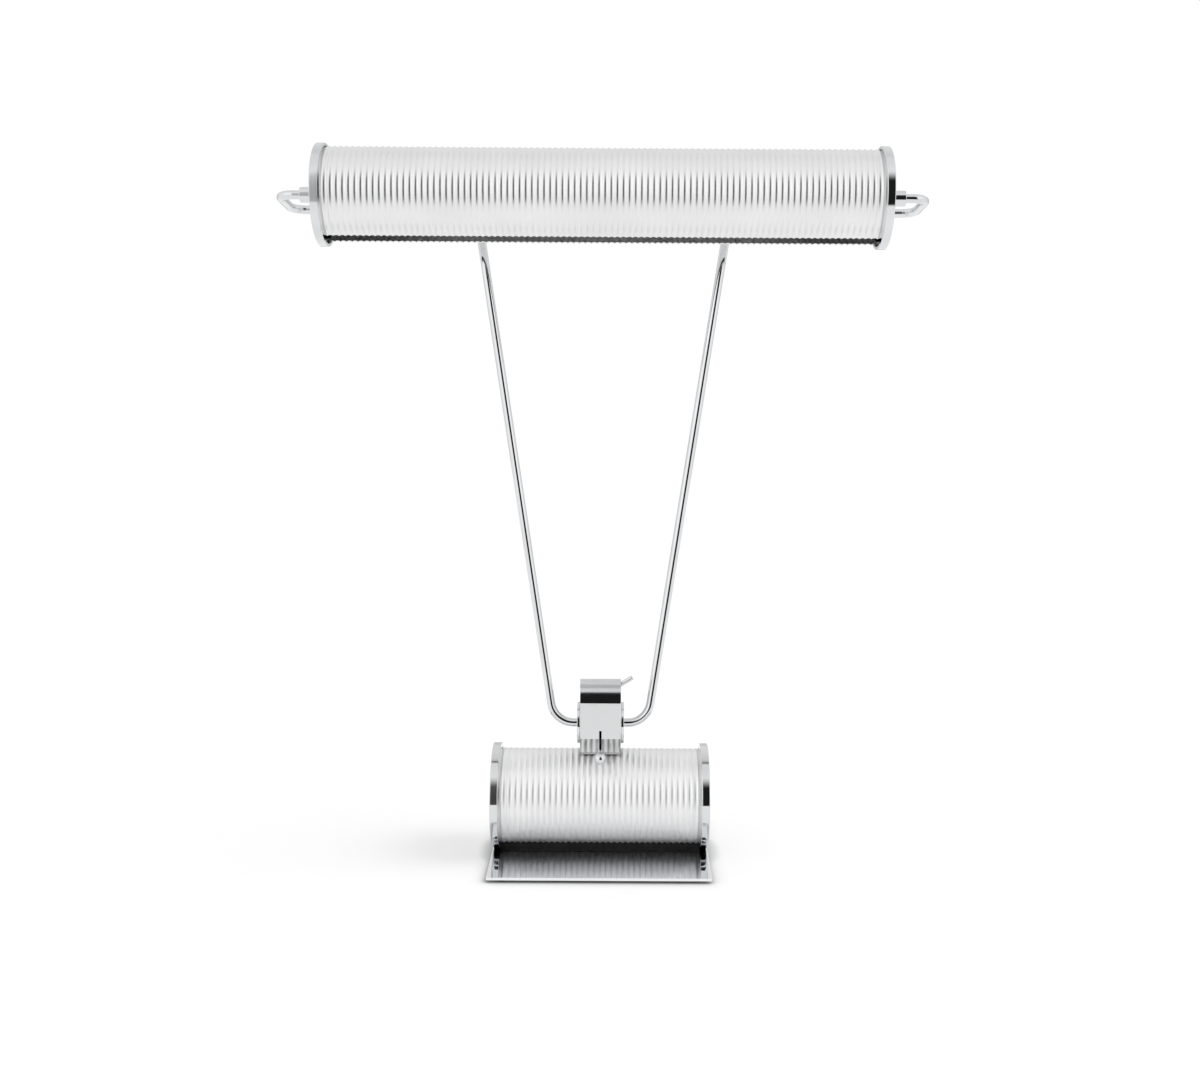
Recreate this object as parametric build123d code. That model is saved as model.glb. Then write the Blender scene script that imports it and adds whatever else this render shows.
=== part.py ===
from build123d import *
import os
from math import asin, atan2, cos, degrees, hypot, radians, sin

# Desk lamp. A ribbed tube shade turns between the ends of two bent rods, the rods tilt
# together in a clamp block, and the block stands on a ribbed cylinder with a mirror plate.
# Millimetres. +Z is up, +X is to the right seen from the front, -Y is towards the viewer.
# The origin is on the desk, under the middle of the base.

# Base plate, as wide as the base with its caps, and the pads that it stands on
PLATE_DEPTH = 131.0
PLATE_THICKNESS = 1.7
PLATE_CORNER = 1.5
PLATE_EDGE = 0.4
PAD_DIAMETER = 12.0
PAD_THICKNESS = 1.8
PAD_INSET = 10.0

# Ribbed tubes: the base and the shade are rolled from the same ribbed sheet
SHADE_CREST = 32.2
BASE_CREST = 33.5
RIB_PITCH = 4.0
RIB_HEIGHT = 0.8
SKIN_WALL = 0.6
BASE_RIBS = 36
SHADE_RIBS = 94

# End caps
SHADE_CAP_STEP = 2.0  # how far the rim stands proud of the ribs
BASE_CAP_STEP = 3.5
CAP_RIM = 5.6
CAP_WALL = 1.2
CAP_LAP = 1.6  # how far the rim reaches over the ribs
CAP_EDGE = 0.6
CAP_FIT = 0.05

# Weight inside the base, and the two long bolts that hold plate, tube and clamp together
BALLAST_BORE = 30.0
BALLAST_FIT = 0.1
BOLT_DIAMETER = 4.0
BOLT_HEAD_DIAMETER = 8.0
BOLT_HEAD_HEIGHT = 1.5
BOLT_SPREAD = 19.2
BOLT_GRIP = 12.0  # thread length inside the clamp block
BOLT_CLEARANCE = 0.2
SPACER_WIDTH = 7.0
SPACER_GAP = 0.4
WIRE_HOLE = 7.0

# Inlet for the mains lead at the back
GLAND_FLANGE_DIAMETER = 13.0
GLAND_FLANGE = 2.2
GLAND_NECK_DIAMETER = 9.0
GLAND_BORE = 6.0
GLAND_FIT = 0.1

# Clamp block
BLOCK_WIDTH = 28.4
BLOCK_DEPTH = 32.0
FOOT_DEPTH = 18.0  # depth of the block where it stands on the ribs
UNDERCUT_RISE = 11.7  # bottom of the upright face above the crest of the base
BLOCK_EDGE = 0.3
SADDLE_FIT = 0.02
PIVOT_RISE = 19.4  # tilt axis above the crest of the base
FACE_RISE = 17.7  # top of the upright face above the tilt axis
SHOULDER_HEIGHT = 6.0
SHOULDER_SETBACK = 2.5

# Locking roll and its lever on top of the block
ROLL_DIAMETER = 10.8
ROLL_FORWARD = 8.2
ROLL_RISE = 4.2  # roll axis above the shoulders
ROLL_GAP = 0.4
AXLE_DIAMETER = 4.0
AXLE_CLEARANCE = 0.05
AXLE_END = 9.0  # where the axle stops short of the lever
LUG_WIDTH = 8.0
LUG_NECK = 3.0
LUG_WALL = 1.4
LUG_GAP = 0.3
LEVER_DIAMETER = 3.2
LEVER_ANGLE = 32.0
LEVER_LENGTH = 12.7
LEVER_ROOT = 2.7  # how deep the lever is set into the end of the roll
LEVER_TIP = 0.6
LEVER_TRAVEL = 70.0

# Ball lever of the switch in the upright face
SWITCH_RISE = 4.1  # switch pivot above the crest of the base
SWITCH_REACH = 10.5  # middle of the ball ahead of the face
SWITCH_DROOP = 7.5
SWITCH_TRAVEL = 45.0
SWITCH_GAP = 0.2
STEM_DIAMETER = 1.3
STEM_SEAT = 3.0
BALL_DIAMETER = 8.5
HUB_DIAMETER = 4.4
HUB_WIDTH = 1.3
SWITCH_PIN_DIAMETER = 1.6
SWITCH_PIN_CLEARANCE = 0.05
SWITCH_BODY_WIDTH = 9.6
SWITCH_BODY_DEPTH = 13.6
SWITCH_BODY_HEIGHT = 10.6
SWITCH_BODY_FIT = 0.1
SWITCH_BODY_LIFT = 0.2

# Bent rods
ROD_DIAMETER = 6.0
ROD_BORE = 4.0
ROD_SEAT = 9.0  # how deep a rod sits in the shaft
ARM_FOOT_X = 33.0
ARM_HEAD_X = 89.5
ARM_RISE = 362.0
LOOP_REACH = 28.0  # middle of the rod beyond the face of the cap
LOOP_DEPTH = 44.0
FOOT_BEND = 16.0
HEAD_BEND = 20.0
LOOP_BEND = 10.0

# Tilt shaft in the clamp and the friction discs beside it
SHAFT_DIAMETER = 9.0
SHAFT_CLEARANCE = 0.05
DISC_DIAMETER = 29.0
DISC_THICKNESS = 2.0
DISC_GAP = 0.25
DISC_EDGE = 0.4

# Turning joints at the ends of the shade
COLLAR_DIAMETER = 10.5
COLLAR_LENGTH = 12.5
COLLAR_GAP = 0.3
COLLAR_EDGE = 0.5
BUSH_DIAMETER = 10.0
BUSH_FLANGE_DIAMETER = 14.0
BUSH_FLANGE = 1.2
BUSH_TAIL = 2.0
BUSH_CLEARANCE = 0.05
RETAINER_DIAMETER = 12.0
RETAINER_LENGTH = 3.0
RETAINER_GAP = 0.3

# Shade: light slot and inner reflector. Angles are elevations seen from the right end,
# 0 towards the viewer and -90 straight down.
SLOT_CENTRE = -85.0
SLOT_ANGLE = 46.0
LINER_WALL = 0.8
LINER_FIT = 0.1
LINER_SETBACK = 20.0  # how far its edges stay back from the slot, in degrees

# Lampholders on hat-shaped straps, with tubular bulbs
STRAP_WIDTH = 12.0
STRAP_THICKNESS = 1.2
STRAP_SPAN = 30.0
STRAP_FOOT = 7.0
STRAP_DEPTH = 15.0
STRAP_BEND = 2.0
HOLDER_LENGTH = 44.0
HOLDER_DIAMETER = 27.0
HOLDER_NECK_DIAMETER = 18.0
HOLDER_NECK = 5.0
HOLDER_TAPER = 3.0
SOCKET_DIAMETER = 15.2
SOCKET_DEPTH = 26.0
SOCKET_GAP = 0.3
BULB_CAP_DIAMETER = 14.4
BULB_STAND = 0.4  # how far the bulb's cap stands out of the socket
BULB_TIP_DIAMETER = 5.0
BULB_TIP_LENGTH = 3.5
BULB_DIAMETER = 25.0
BULB_LENGTH = 62.0
BULB_SHOULDER = 8.0
BULB_GLASS = 1.0

# Levels and places that follow from the sizes above
shade_bore = SHADE_CREST - RIB_HEIGHT - SKIN_WALL
base_valley = BASE_CREST - RIB_HEIGHT
base_bore = base_valley - SKIN_WALL
plate_top = PAD_THICKNESS + PLATE_THICKNESS
base_z = plate_top + BASE_CREST + BASE_CAP_STEP
crest_top = base_z + BASE_CREST
pivot_z = crest_top + PIVOT_RISE
block_front = BLOCK_DEPTH / 2
block_foot = FOOT_DEPTH / 2
undercut_z = crest_top + UNDERCUT_RISE
block_side = BLOCK_WIDTH / 2
face_top = pivot_z + FACE_RISE
shoulder_top = face_top + SHOULDER_HEIGHT
roll_y = -ROLL_FORWARD
roll_z = shoulder_top + ROLL_RISE
roll_radius = ROLL_DIAMETER / 2
eye_radius = AXLE_DIAMETER / 2 + LUG_WALL
switch_z = crest_top + SWITCH_RISE
ball_distance = (block_front + SWITCH_REACH) / cos(radians(SWITCH_DROOP))
rod_radius = ROD_DIAMETER / 2
lean = degrees(atan2(LOOP_DEPTH, ARM_RISE))  # sets the shade plumb above the tilt axis
shade_z = pivot_z + hypot(ARM_RISE, LOOP_DEPTH)
base_face_x = BASE_RIBS * RIB_PITCH / 2 + CAP_RIM - CAP_LAP
plate_width = 2 * base_face_x
shade_face_x = SHADE_RIBS * RIB_PITCH / 2 + CAP_RIM - CAP_LAP
shade_wall_x = shade_face_x - CAP_WALL
bush_end_x = shade_wall_x - BUSH_FLANGE - BUSH_TAIL
rod_end_x = bush_end_x - RETAINER_GAP - RETAINER_LENGTH
bridge_x = shade_wall_x - STRAP_DEPTH
mouth_x = bridge_x - HOLDER_LENGTH
socket_end_x = mouth_x + SOCKET_DEPTH
bulb_tip_x = socket_end_x - SOCKET_GAP
bulb_seat_x = mouth_x - BULB_STAND


# Helpers
def x_cylinder(radius, x_from, x_to, y=0.0, z=0.0):
    """A cylinder along X."""
    middle = Pos((x_from + x_to) / 2, y, z)
    return middle * Rot(0, 90, 0) * Cylinder(radius, x_to - x_from)


def y_cylinder(radius, y_from, y_to, z):
    """A cylinder along Y in the middle plane of the lamp."""
    return Pos(0, (y_from + y_to) / 2, z) * Rot(90, 0, 0) * Cylinder(radius, y_to - y_from)


def z_cylinder(radius, z_from, z_to, x=0.0, y=0.0):
    """An upright cylinder."""
    return Pos(x, y, (z_from + z_to) / 2) * Cylinder(radius, z_to - z_from)


def turned(outline, angle=360.0):
    """A closed outline in (x, radius) turned about the X axis, starting from +Y."""
    return revolve(make_face(outline), Axis.X, angle)


def upright_plate(outline, width):
    """A closed outline in (y, z) given a width along X, centred."""
    return extrude(Plane.YZ * make_face(outline), width / 2, both=True)


def at_shade(shape):
    """Moves a piece made about the X axis to the axis of the shade."""
    return Pos(0, 0, shade_z) * shape


def at_pivot(shape):
    """Moves a piece made about the X axis to the tilt axis."""
    return Pos(0, 0, pivot_z) * shape


def both_sides(name, right):
    """The right-hand piece and its mirror image, under the names of their nodes."""
    return {f"{name}_right": right, f"{name}_left": mirror(right, about=Plane.YZ)}


# Ribbed tube and end caps
def ribbed_skin(crest, ribs, angle=360.0):
    """A sheet with closely set ribs round it, plain on the inside."""
    half = ribs * RIB_PITCH / 2
    valley = crest - RIB_HEIGHT
    bore = valley - SKIN_WALL
    radii = (valley, crest)
    ridge = [(-half + i * RIB_PITCH / 2, radii[i % 2]) for i in range(2 * ribs + 1)]
    return turned(Polyline(*ridge, (half, bore), (-half, bore), close=True), angle)


def end_cap(crest, step, face_x, hole_radius=0.0):
    """A spun cup whose rim stands proud of the ribs, for the right-hand end."""
    cap_radius = crest + step
    rim_bore = crest + CAP_FIT
    wall_x = face_x - CAP_WALL
    rim_x = face_x - CAP_RIM
    outline = make_face(
        Polyline(
            (face_x, hole_radius),
            (face_x, cap_radius),
            (rim_x, cap_radius),
            (rim_x, rim_bore),
            (wall_x, rim_bore),
            (wall_x, hole_radius),
            close=True,
        )
    )
    rounded = fillet(outline.vertices().group_by(Axis.Y)[-1], CAP_EDGE)
    return revolve(rounded, Axis.X)


# Base
def base_plate():
    plate = extrude(RectangleRounded(plate_width, PLATE_DEPTH, PLATE_CORNER), PLATE_THICKNESS)
    plate = chamfer(plate.faces().sort_by(Axis.Z)[-1].edges(), PLATE_EDGE)
    plate = Pos(0, 0, PAD_THICKNESS) * plate
    for x in (-BOLT_SPREAD / 2, BOLT_SPREAD / 2):
        plate -= z_cylinder(BOLT_DIAMETER / 2 + BOLT_CLEARANCE, 0, plate_top, x)
        plate -= Pos(x, 0, 0) * bolt_head()
    return plate


def bolt_head():
    """Countersunk head, flush with the underside of the plate."""
    head = Cone(BOLT_HEAD_DIAMETER / 2, BOLT_DIAMETER / 2, BOLT_HEAD_HEIGHT)
    return Pos(0, 0, PAD_THICKNESS + BOLT_HEAD_HEIGHT / 2) * head


def base_bolts():
    shank = z_cylinder(BOLT_DIAMETER / 2, PAD_THICKNESS, crest_top + BOLT_GRIP)
    bolt = shank + bolt_head()
    return Compound([Pos(x, 0, 0) * bolt for x in (-BOLT_SPREAD / 2, BOLT_SPREAD / 2)])


def bolt_passages():
    """Clearance for both bolts through the tube and the ballast."""
    radius = BOLT_DIAMETER / 2 + BOLT_CLEARANCE
    right = z_cylinder(radius, plate_top, crest_top, BOLT_SPREAD / 2)
    return right + mirror(right, about=Plane.YZ)


def base_spacers():
    """Two saddle bars that fill the gap between the plate and the ribs from cap to cap."""
    length = base_face_x - CAP_RIM - 2 * SPACER_GAP
    height = base_z - base_valley - plate_top
    middle = Pos(SPACER_GAP + length / 2, 0, plate_top + height / 2)
    saddle = middle * Box(length, SPACER_WIDTH, height)
    saddle -= x_cylinder(BASE_CREST + SADDLE_FIT, 0, base_face_x, 0, base_z)
    saddle -= bolt_passages()
    return Compound([saddle, mirror(saddle, about=Plane.YZ)])


def base_pads():
    pad = z_cylinder(PAD_DIAMETER / 2, 0, PAD_THICKNESS)
    across = plate_width - 2 * PAD_INSET
    along = PLATE_DEPTH - 2 * PAD_INSET
    return Compound([place * pad for place in GridLocations(across, along, 2, 2)])


def base_skin():
    skin = Pos(0, 0, base_z) * ribbed_skin(BASE_CREST, BASE_RIBS)
    skin -= bolt_passages()
    skin -= z_cylinder(WIRE_HOLE / 2, base_z, crest_top)
    return skin - y_cylinder(GLAND_NECK_DIAMETER / 2 + GLAND_FIT, 0, BASE_CREST, base_z)


def base_ballast():
    end = base_face_x - CAP_WALL
    weight = x_cylinder(base_bore - BALLAST_FIT, -end, end, 0, base_z)
    weight -= x_cylinder(BALLAST_BORE / 2, -end, end, 0, base_z)
    weight -= bolt_passages()
    weight -= z_cylinder(WIRE_HOLE / 2, base_z, crest_top)
    return weight - y_cylinder(GLAND_NECK_DIAMETER / 2 + GLAND_FIT, 0, BASE_CREST, base_z)


def cord_gland():
    """Grommet whose flange is saddled to the ribs at the back of the base."""
    lip = BASE_CREST + GLAND_FLANGE
    flange = y_cylinder(GLAND_FLANGE_DIAMETER / 2, base_valley, lip, base_z)
    flange -= x_cylinder(
        BASE_CREST + SADDLE_FIT, -GLAND_FLANGE_DIAMETER, GLAND_FLANGE_DIAMETER, 0, base_z
    )
    neck = y_cylinder(GLAND_NECK_DIAMETER / 2, BALLAST_BORE / 2, lip, base_z)
    return flange + neck - y_cylinder(GLAND_BORE / 2, 0, lip, base_z)


# Clamp block with its lug for the locking roll
def switch_slot():
    """The room that the switch lever sweeps, from its pivot out through the face."""
    low = radians(180 + SWITCH_DROOP)
    high = low - radians(SWITCH_TRAVEL)
    room = STEM_DIAMETER / 2 + SWITCH_GAP
    out = BLOCK_DEPTH
    below = (room * cos(low + radians(90)), switch_z + room * sin(low + radians(90)))
    above = (room * cos(high - radians(90)), switch_z + room * sin(high - radians(90)))
    sweep_outline = Polyline(
        below,
        (below[0] + out * cos(low), below[1] + out * sin(low)),
        (above[0] + out * cos(high), above[1] + out * sin(high)),
        above,
        close=True,
    )
    return upright_plate(sweep_outline, HUB_WIDTH + 2 * SWITCH_GAP)


def switch_box(fit):
    """Outer block of the switch body, or its pocket when a fit is given."""
    bottom = crest_top + SWITCH_BODY_LIFT - fit
    height = SWITCH_BODY_HEIGHT + 2 * fit
    box = Box(SWITCH_BODY_WIDTH + 2 * fit, SWITCH_BODY_DEPTH + 2 * fit, height)
    return Pos(0, 0, bottom + height / 2) * box


def clamp_block():
    """Block with upright faces, shoulders above them and undercuts that mirror the ribs."""
    front = [
        (-block_foot, base_z),
        (-block_foot, crest_top),
        (-block_front, undercut_z),
        (-block_front, face_top),
        (-block_front + SHOULDER_SETBACK, shoulder_top),
    ]
    back = [(-y, z) for y, z in reversed(front)]
    profile = Polyline(*front, *back, close=True)
    block = upright_plate(profile, BLOCK_WIDTH)
    block = chamfer(block.edges().filter_by(Axis.Z), BLOCK_EDGE)
    reach = block_side + ROLL_GAP
    block -= x_cylinder(BASE_CREST + SADDLE_FIT, -reach, reach, 0, base_z)
    block -= x_cylinder(SHAFT_DIAMETER / 2 + SHAFT_CLEARANCE, -reach, reach, 0, pivot_z)
    block -= x_cylinder(roll_radius + ROLL_GAP, -reach, reach, roll_y, roll_z)
    block -= switch_box(SWITCH_BODY_FIT) + switch_slot()
    block -= z_cylinder(ROD_BORE / 2, switch_z, pivot_z)
    for x in (-BOLT_SPREAD / 2, BOLT_SPREAD / 2):
        block -= z_cylinder(BOLT_DIAMETER / 2, base_z, crest_top + BOLT_GRIP, x)
    return block + clamp_lug()


def clamp_lug():
    """Eye on a neck in the middle of the roll's groove."""
    half = LUG_WIDTH / 2
    neck_foot = roll_z - roll_radius - 2 * ROLL_GAP
    neck_height = roll_z - neck_foot
    neck = Pos(0, roll_y, neck_foot + neck_height / 2) * Box(LUG_WIDTH, LUG_NECK, neck_height)
    lug = neck + x_cylinder(eye_radius, -half, half, roll_y, roll_z)
    return lug - x_cylinder(AXLE_DIAMETER / 2, -half, half, roll_y, roll_z)


def clamp_axle():
    return x_cylinder(AXLE_DIAMETER / 2, -block_side, AXLE_END, roll_y, roll_z)


# Locking roll and lever
def clamp_roll():
    half = LUG_WIDTH / 2 + LUG_GAP
    inside = eye_radius + LUG_GAP
    bore = AXLE_DIAMETER / 2 + AXLE_CLEARANCE
    roll = x_cylinder(roll_radius, -block_side, block_side, roll_y, roll_z)
    roll -= x_cylinder(bore, -block_side, AXLE_END + LUG_GAP, roll_y, roll_z)
    roll -= x_cylinder(inside, -half, half, roll_y, roll_z)
    spread = degrees(asin((LUG_NECK / 2 + LUG_GAP) / inside))
    turns = (-90 - spread, -90 + LEVER_TRAVEL / 2, -90 + LEVER_TRAVEL + spread)
    rim = [
        (roll_y + ROLL_DIAMETER * cos(radians(a)), roll_z + ROLL_DIAMETER * sin(radians(a)))
        for a in turns
    ]
    roll -= upright_plate(Polyline((roll_y, roll_z), *rim, close=True), 2 * half)
    return roll - clamp_lever()


def clamp_lever():
    pin = Cylinder(LEVER_DIAMETER / 2, LEVER_LENGTH, align=(Align.CENTER, Align.CENTER, Align.MIN))
    pin = fillet(pin.edges().sort_by(Axis.Z)[-1], LEVER_TIP)
    return Pos(block_side - LEVER_ROOT, roll_y, roll_z) * Rot(0, 90 - LEVER_ANGLE, 0) * pin


# Switch
def switch_pin_hole(radius):
    half = SWITCH_BODY_WIDTH / 2
    return x_cylinder(radius, -half, half, 0, switch_z)


def switch_body():
    half = HUB_WIDTH / 2 + SWITCH_GAP
    body = switch_box(0) - switch_slot()
    body -= x_cylinder(HUB_DIAMETER / 2 + SWITCH_GAP, -half, half, 0, switch_z)
    return body - switch_pin_hole(SWITCH_PIN_DIAMETER / 2)


def switch_pin():
    return switch_pin_hole(SWITCH_PIN_DIAMETER / 2)


def drooped(shape):
    """Lays a piece made along -Y from the origin on the switch lever's line."""
    return Pos(0, 0, switch_z) * Rot(SWITCH_DROOP, 0, 0) * shape


def switch_lever():
    length = ball_distance - BALL_DIAMETER / 2 + STEM_SEAT
    stem = drooped(y_cylinder(STEM_DIAMETER / 2, -length, 0, 0))
    hub = x_cylinder(HUB_DIAMETER / 2, -HUB_WIDTH / 2, HUB_WIDTH / 2, 0, switch_z)
    return stem + hub - switch_pin_hole(SWITCH_PIN_DIAMETER / 2 + SWITCH_PIN_CLEARANCE)


def switch_ball():
    return drooped(Pos(0, -ball_distance, 0) * Sphere(BALL_DIAMETER / 2)) - switch_lever()


# Arm
def arm_rod():
    """One tube with four bends: out of the clamp, up, outward, round the cap and back in."""
    loop_x = shade_face_x + LOOP_REACH
    path = FilletPolyline(
        (block_side - ROD_SEAT, 0, 0),
        (ARM_FOOT_X, 0, 0),
        (ARM_HEAD_X, 0, ARM_RISE),
        (loop_x, 0, ARM_RISE),
        (loop_x, -LOOP_DEPTH, ARM_RISE),
        (rod_end_x, -LOOP_DEPTH, ARM_RISE),
        radius=[FOOT_BEND, HEAD_BEND, LOOP_BEND, LOOP_BEND],
    )
    tube = Circle(rod_radius) - Circle(ROD_BORE / 2)
    rod = sweep(Plane(origin=path @ 0, z_dir=path % 0) * tube, path=path)
    return at_pivot(Rot(-lean, 0, 0) * rod)


def arm_shaft():
    """Sleeve that joins both rods and turns in the block, with a window for the wires."""
    shaft = x_cylinder(SHAFT_DIAMETER / 2, -block_side, block_side)
    shaft -= x_cylinder(rod_radius, -block_side, block_side)
    return at_pivot(shaft - z_cylinder(ROD_BORE / 2, -SHAFT_DIAMETER, 0))


def ring(outer, inner, x_from, x_to, edge=0.0):
    """A plain ring on the X axis with its outer edges rounded."""
    blank = x_cylinder(outer, x_from, x_to)
    if edge:
        blank = fillet(blank.edges().filter_by(GeomType.CIRCLE), edge)
    return blank - x_cylinder(inner, x_from, x_to)


def arm_disc():
    start = block_side + DISC_GAP
    disc = ring(DISC_DIAMETER / 2, rod_radius, start, start + DISC_THICKNESS, DISC_EDGE)
    return at_pivot(disc)


def arm_collar():
    start = shade_face_x + COLLAR_GAP
    collar = ring(COLLAR_DIAMETER / 2, rod_radius, start, start + COLLAR_LENGTH, COLLAR_EDGE)
    return at_shade(collar)


def arm_retainer():
    return at_shade(ring(RETAINER_DIAMETER / 2, rod_radius, rod_end_x, bush_end_x - RETAINER_GAP))


# Shade
def shade_cap():
    return end_cap(SHADE_CREST, SHADE_CAP_STEP, shade_face_x, BUSH_DIAMETER / 2)


def shade_skin():
    """Ribbed sheet, open along the light slot."""
    start = 180 - SLOT_CENTRE + SLOT_ANGLE / 2
    return at_shade(Rot(start, 0, 0) * ribbed_skin(SHADE_CREST, SHADE_RIBS, 360 - SLOT_ANGLE))


def shade_liner():
    """Plain reflector inside the ribs, set back from the edges of the light slot."""
    outer = shade_bore - LINER_FIT
    inner = outer - LINER_WALL
    section = Polyline(
        (-shade_wall_x, inner),
        (shade_wall_x, inner),
        (shade_wall_x, outer),
        (-shade_wall_x, outer),
        close=True,
    )
    start = 180 - SLOT_CENTRE + SLOT_ANGLE / 2 + LINER_SETBACK
    liner = turned(section, 360 - SLOT_ANGLE - 2 * LINER_SETBACK)
    return at_shade(Rot(start, 0, 0) * liner)


def shade_bush():
    """Flanged bush in the middle of a cap, running on the rod."""
    barrel = BUSH_DIAMETER / 2
    flange_x = shade_wall_x - BUSH_FLANGE
    bore = rod_radius + BUSH_CLEARANCE
    outline = Polyline(
        (shade_face_x, bore),
        (shade_face_x, barrel),
        (shade_wall_x, barrel),
        (shade_wall_x, BUSH_FLANGE_DIAMETER / 2),
        (flange_x, BUSH_FLANGE_DIAMETER / 2),
        (flange_x, barrel),
        (bush_end_x, barrel),
        (bush_end_x, bore),
        close=True,
    )
    return at_shade(turned(outline))


# Lampholders and bulbs
def holder_strap():
    """Hat-shaped strap that stands a lampholder off the cap, clear of the rod's end."""
    seat = shade_wall_x - STRAP_THICKNESS / 2
    bridge = bridge_x + STRAP_THICKNESS / 2
    leg = STRAP_SPAN / 2
    toe = leg + STRAP_FOOT
    line = FilletPolyline(
        (seat, toe),
        (seat, leg),
        (bridge, leg),
        (bridge, -leg),
        (seat, -leg),
        (seat, -toe),
        radius=STRAP_BEND,
    )
    return at_shade(extrude(trace(line, STRAP_THICKNESS), STRAP_WIDTH / 2, both=True))


def lampholder():
    neck = HOLDER_NECK_DIAMETER / 2
    body = HOLDER_DIAMETER / 2
    socket = SOCKET_DIAMETER / 2
    neck_x = bridge_x - HOLDER_NECK
    outline = Polyline(
        (bridge_x, 0),
        (bridge_x, neck),
        (neck_x, neck),
        (neck_x - HOLDER_TAPER, body),
        (mouth_x, body),
        (mouth_x, socket),
        (socket_end_x, socket),
        (socket_end_x, 0),
        close=True,
    )
    return at_shade(turned(outline))


def bulb_cap():
    radius = BULB_CAP_DIAMETER / 2
    tip = BULB_TIP_DIAMETER / 2
    outline = Polyline(
        (bulb_tip_x, 0),
        (bulb_tip_x, tip),
        (bulb_tip_x - BULB_TIP_LENGTH, radius),
        (bulb_seat_x, radius),
        (bulb_seat_x, 0),
        close=True,
    )
    return at_shade(turned(outline))


def bulb_envelope(inset):
    """The tubular bulb's outside, or its hollow when the glass is taken off all round."""
    neck = BULB_CAP_DIAMETER / 2 - inset
    body = BULB_DIAMETER / 2 - inset
    end_x = bulb_seat_x - BULB_LENGTH + inset
    dome_x = end_x + body
    dome_top = (dome_x - body * cos(radians(45)), body * sin(radians(45)))
    outline = [
        Polyline(
            (end_x, 0),
            (bulb_seat_x, 0),
            (bulb_seat_x, neck),
            (bulb_seat_x - BULB_SHOULDER, body),
            (dome_x, body),
        ),
        ThreePointArc((dome_x, body), dome_top, (end_x, 0)),
    ]
    return turned(outline)


def bulb_glass():
    return at_shade(bulb_envelope(0) - bulb_envelope(BULB_GLASS))


# Nodes
nodes = {
    "base_plate": base_plate(),
    "base_pads": base_pads(),
    "base_bolts": base_bolts(),
    "base_spacers": base_spacers(),
    "base_skin": base_skin(),
    "base_ballast": base_ballast(),
    "cord_gland": cord_gland(),
    "clamp_block": clamp_block(),
    "clamp_axle": clamp_axle(),
    "clamp_roll": clamp_roll(),
    "clamp_lever": clamp_lever(),
    "switch_body": switch_body(),
    "switch_pin": switch_pin(),
    "switch_lever": switch_lever(),
    "switch_ball": switch_ball(),
    "arm_shaft": arm_shaft(),
    "shade_skin": shade_skin(),
    "shade_liner": shade_liner(),
    **both_sides("base_cap", Pos(0, 0, base_z) * end_cap(BASE_CREST, BASE_CAP_STEP, base_face_x)),
    **both_sides("arm_rod", arm_rod()),
    **both_sides("arm_disc", arm_disc()),
    **both_sides("arm_collar", arm_collar()),
    **both_sides("arm_retainer", arm_retainer()),
    **both_sides("shade_cap", at_shade(shade_cap())),
    **both_sides("shade_bush", shade_bush()),
    **both_sides("holder_strap", holder_strap()),
    **both_sides("lampholder", lampholder()),
    **both_sides("bulb_cap", bulb_cap()),
    **both_sides("bulb_glass", bulb_glass()),
}

os.makedirs("parts", exist_ok=True)
for name, shape in nodes.items():
    export_step(shape, f"parts/{name}.step")
print(len(nodes), "nodes; shade axis at", round(shade_z, 1), "and tilt axis at", round(pivot_z, 1))
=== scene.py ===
# %% [markdown]
# # A desk lamp with fluted tubes
#
# The lamp is nearly all metal. A fluted aluminium tube is the shade, a shorter one is the
# base, and chrome rods, caps, a clamp block and a mirror plate join them. The solids come from
# the CAD model, so this lesson adds what they lack: fine flutes, finishes, light and a camera.
# Everything is in metres, +Z is up and -Y is towards the viewer.

# %% Load the frame
import bpy
import bmesh
from functools import partial
from math import cos, degrees, radians, sin
from mathutils import Matrix, Vector

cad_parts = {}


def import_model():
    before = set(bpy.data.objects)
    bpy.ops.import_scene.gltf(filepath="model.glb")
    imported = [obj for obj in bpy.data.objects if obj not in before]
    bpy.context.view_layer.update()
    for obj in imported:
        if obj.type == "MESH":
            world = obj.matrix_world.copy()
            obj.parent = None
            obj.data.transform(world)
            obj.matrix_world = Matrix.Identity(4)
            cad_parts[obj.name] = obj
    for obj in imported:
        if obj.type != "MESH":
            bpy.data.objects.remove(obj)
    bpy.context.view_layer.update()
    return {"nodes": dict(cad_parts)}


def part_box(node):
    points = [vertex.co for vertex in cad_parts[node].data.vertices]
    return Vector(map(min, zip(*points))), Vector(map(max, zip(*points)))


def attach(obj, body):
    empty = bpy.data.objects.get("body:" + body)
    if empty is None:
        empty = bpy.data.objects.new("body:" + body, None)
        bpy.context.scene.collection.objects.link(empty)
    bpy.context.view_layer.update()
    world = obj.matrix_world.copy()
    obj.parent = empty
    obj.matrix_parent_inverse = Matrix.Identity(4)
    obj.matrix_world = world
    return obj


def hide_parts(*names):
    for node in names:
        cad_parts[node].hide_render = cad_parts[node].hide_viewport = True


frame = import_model()
nodes = frame["nodes"]
scene = bpy.context.scene
scene.view_settings.view_transform = "Standard"

# %% [markdown]
# ## Camera
#
# The camera comes first, because every later choice is judged through it. It stands nearly a
# metre in front of the lamp, a little above the middle, and looks slightly down. Its place
# was worked out from the even spacing of the flutes, which are as good as a ruler. The frame
# is cropped a little off centre, and a small lens shift says so without tilting the lamp.

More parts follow.
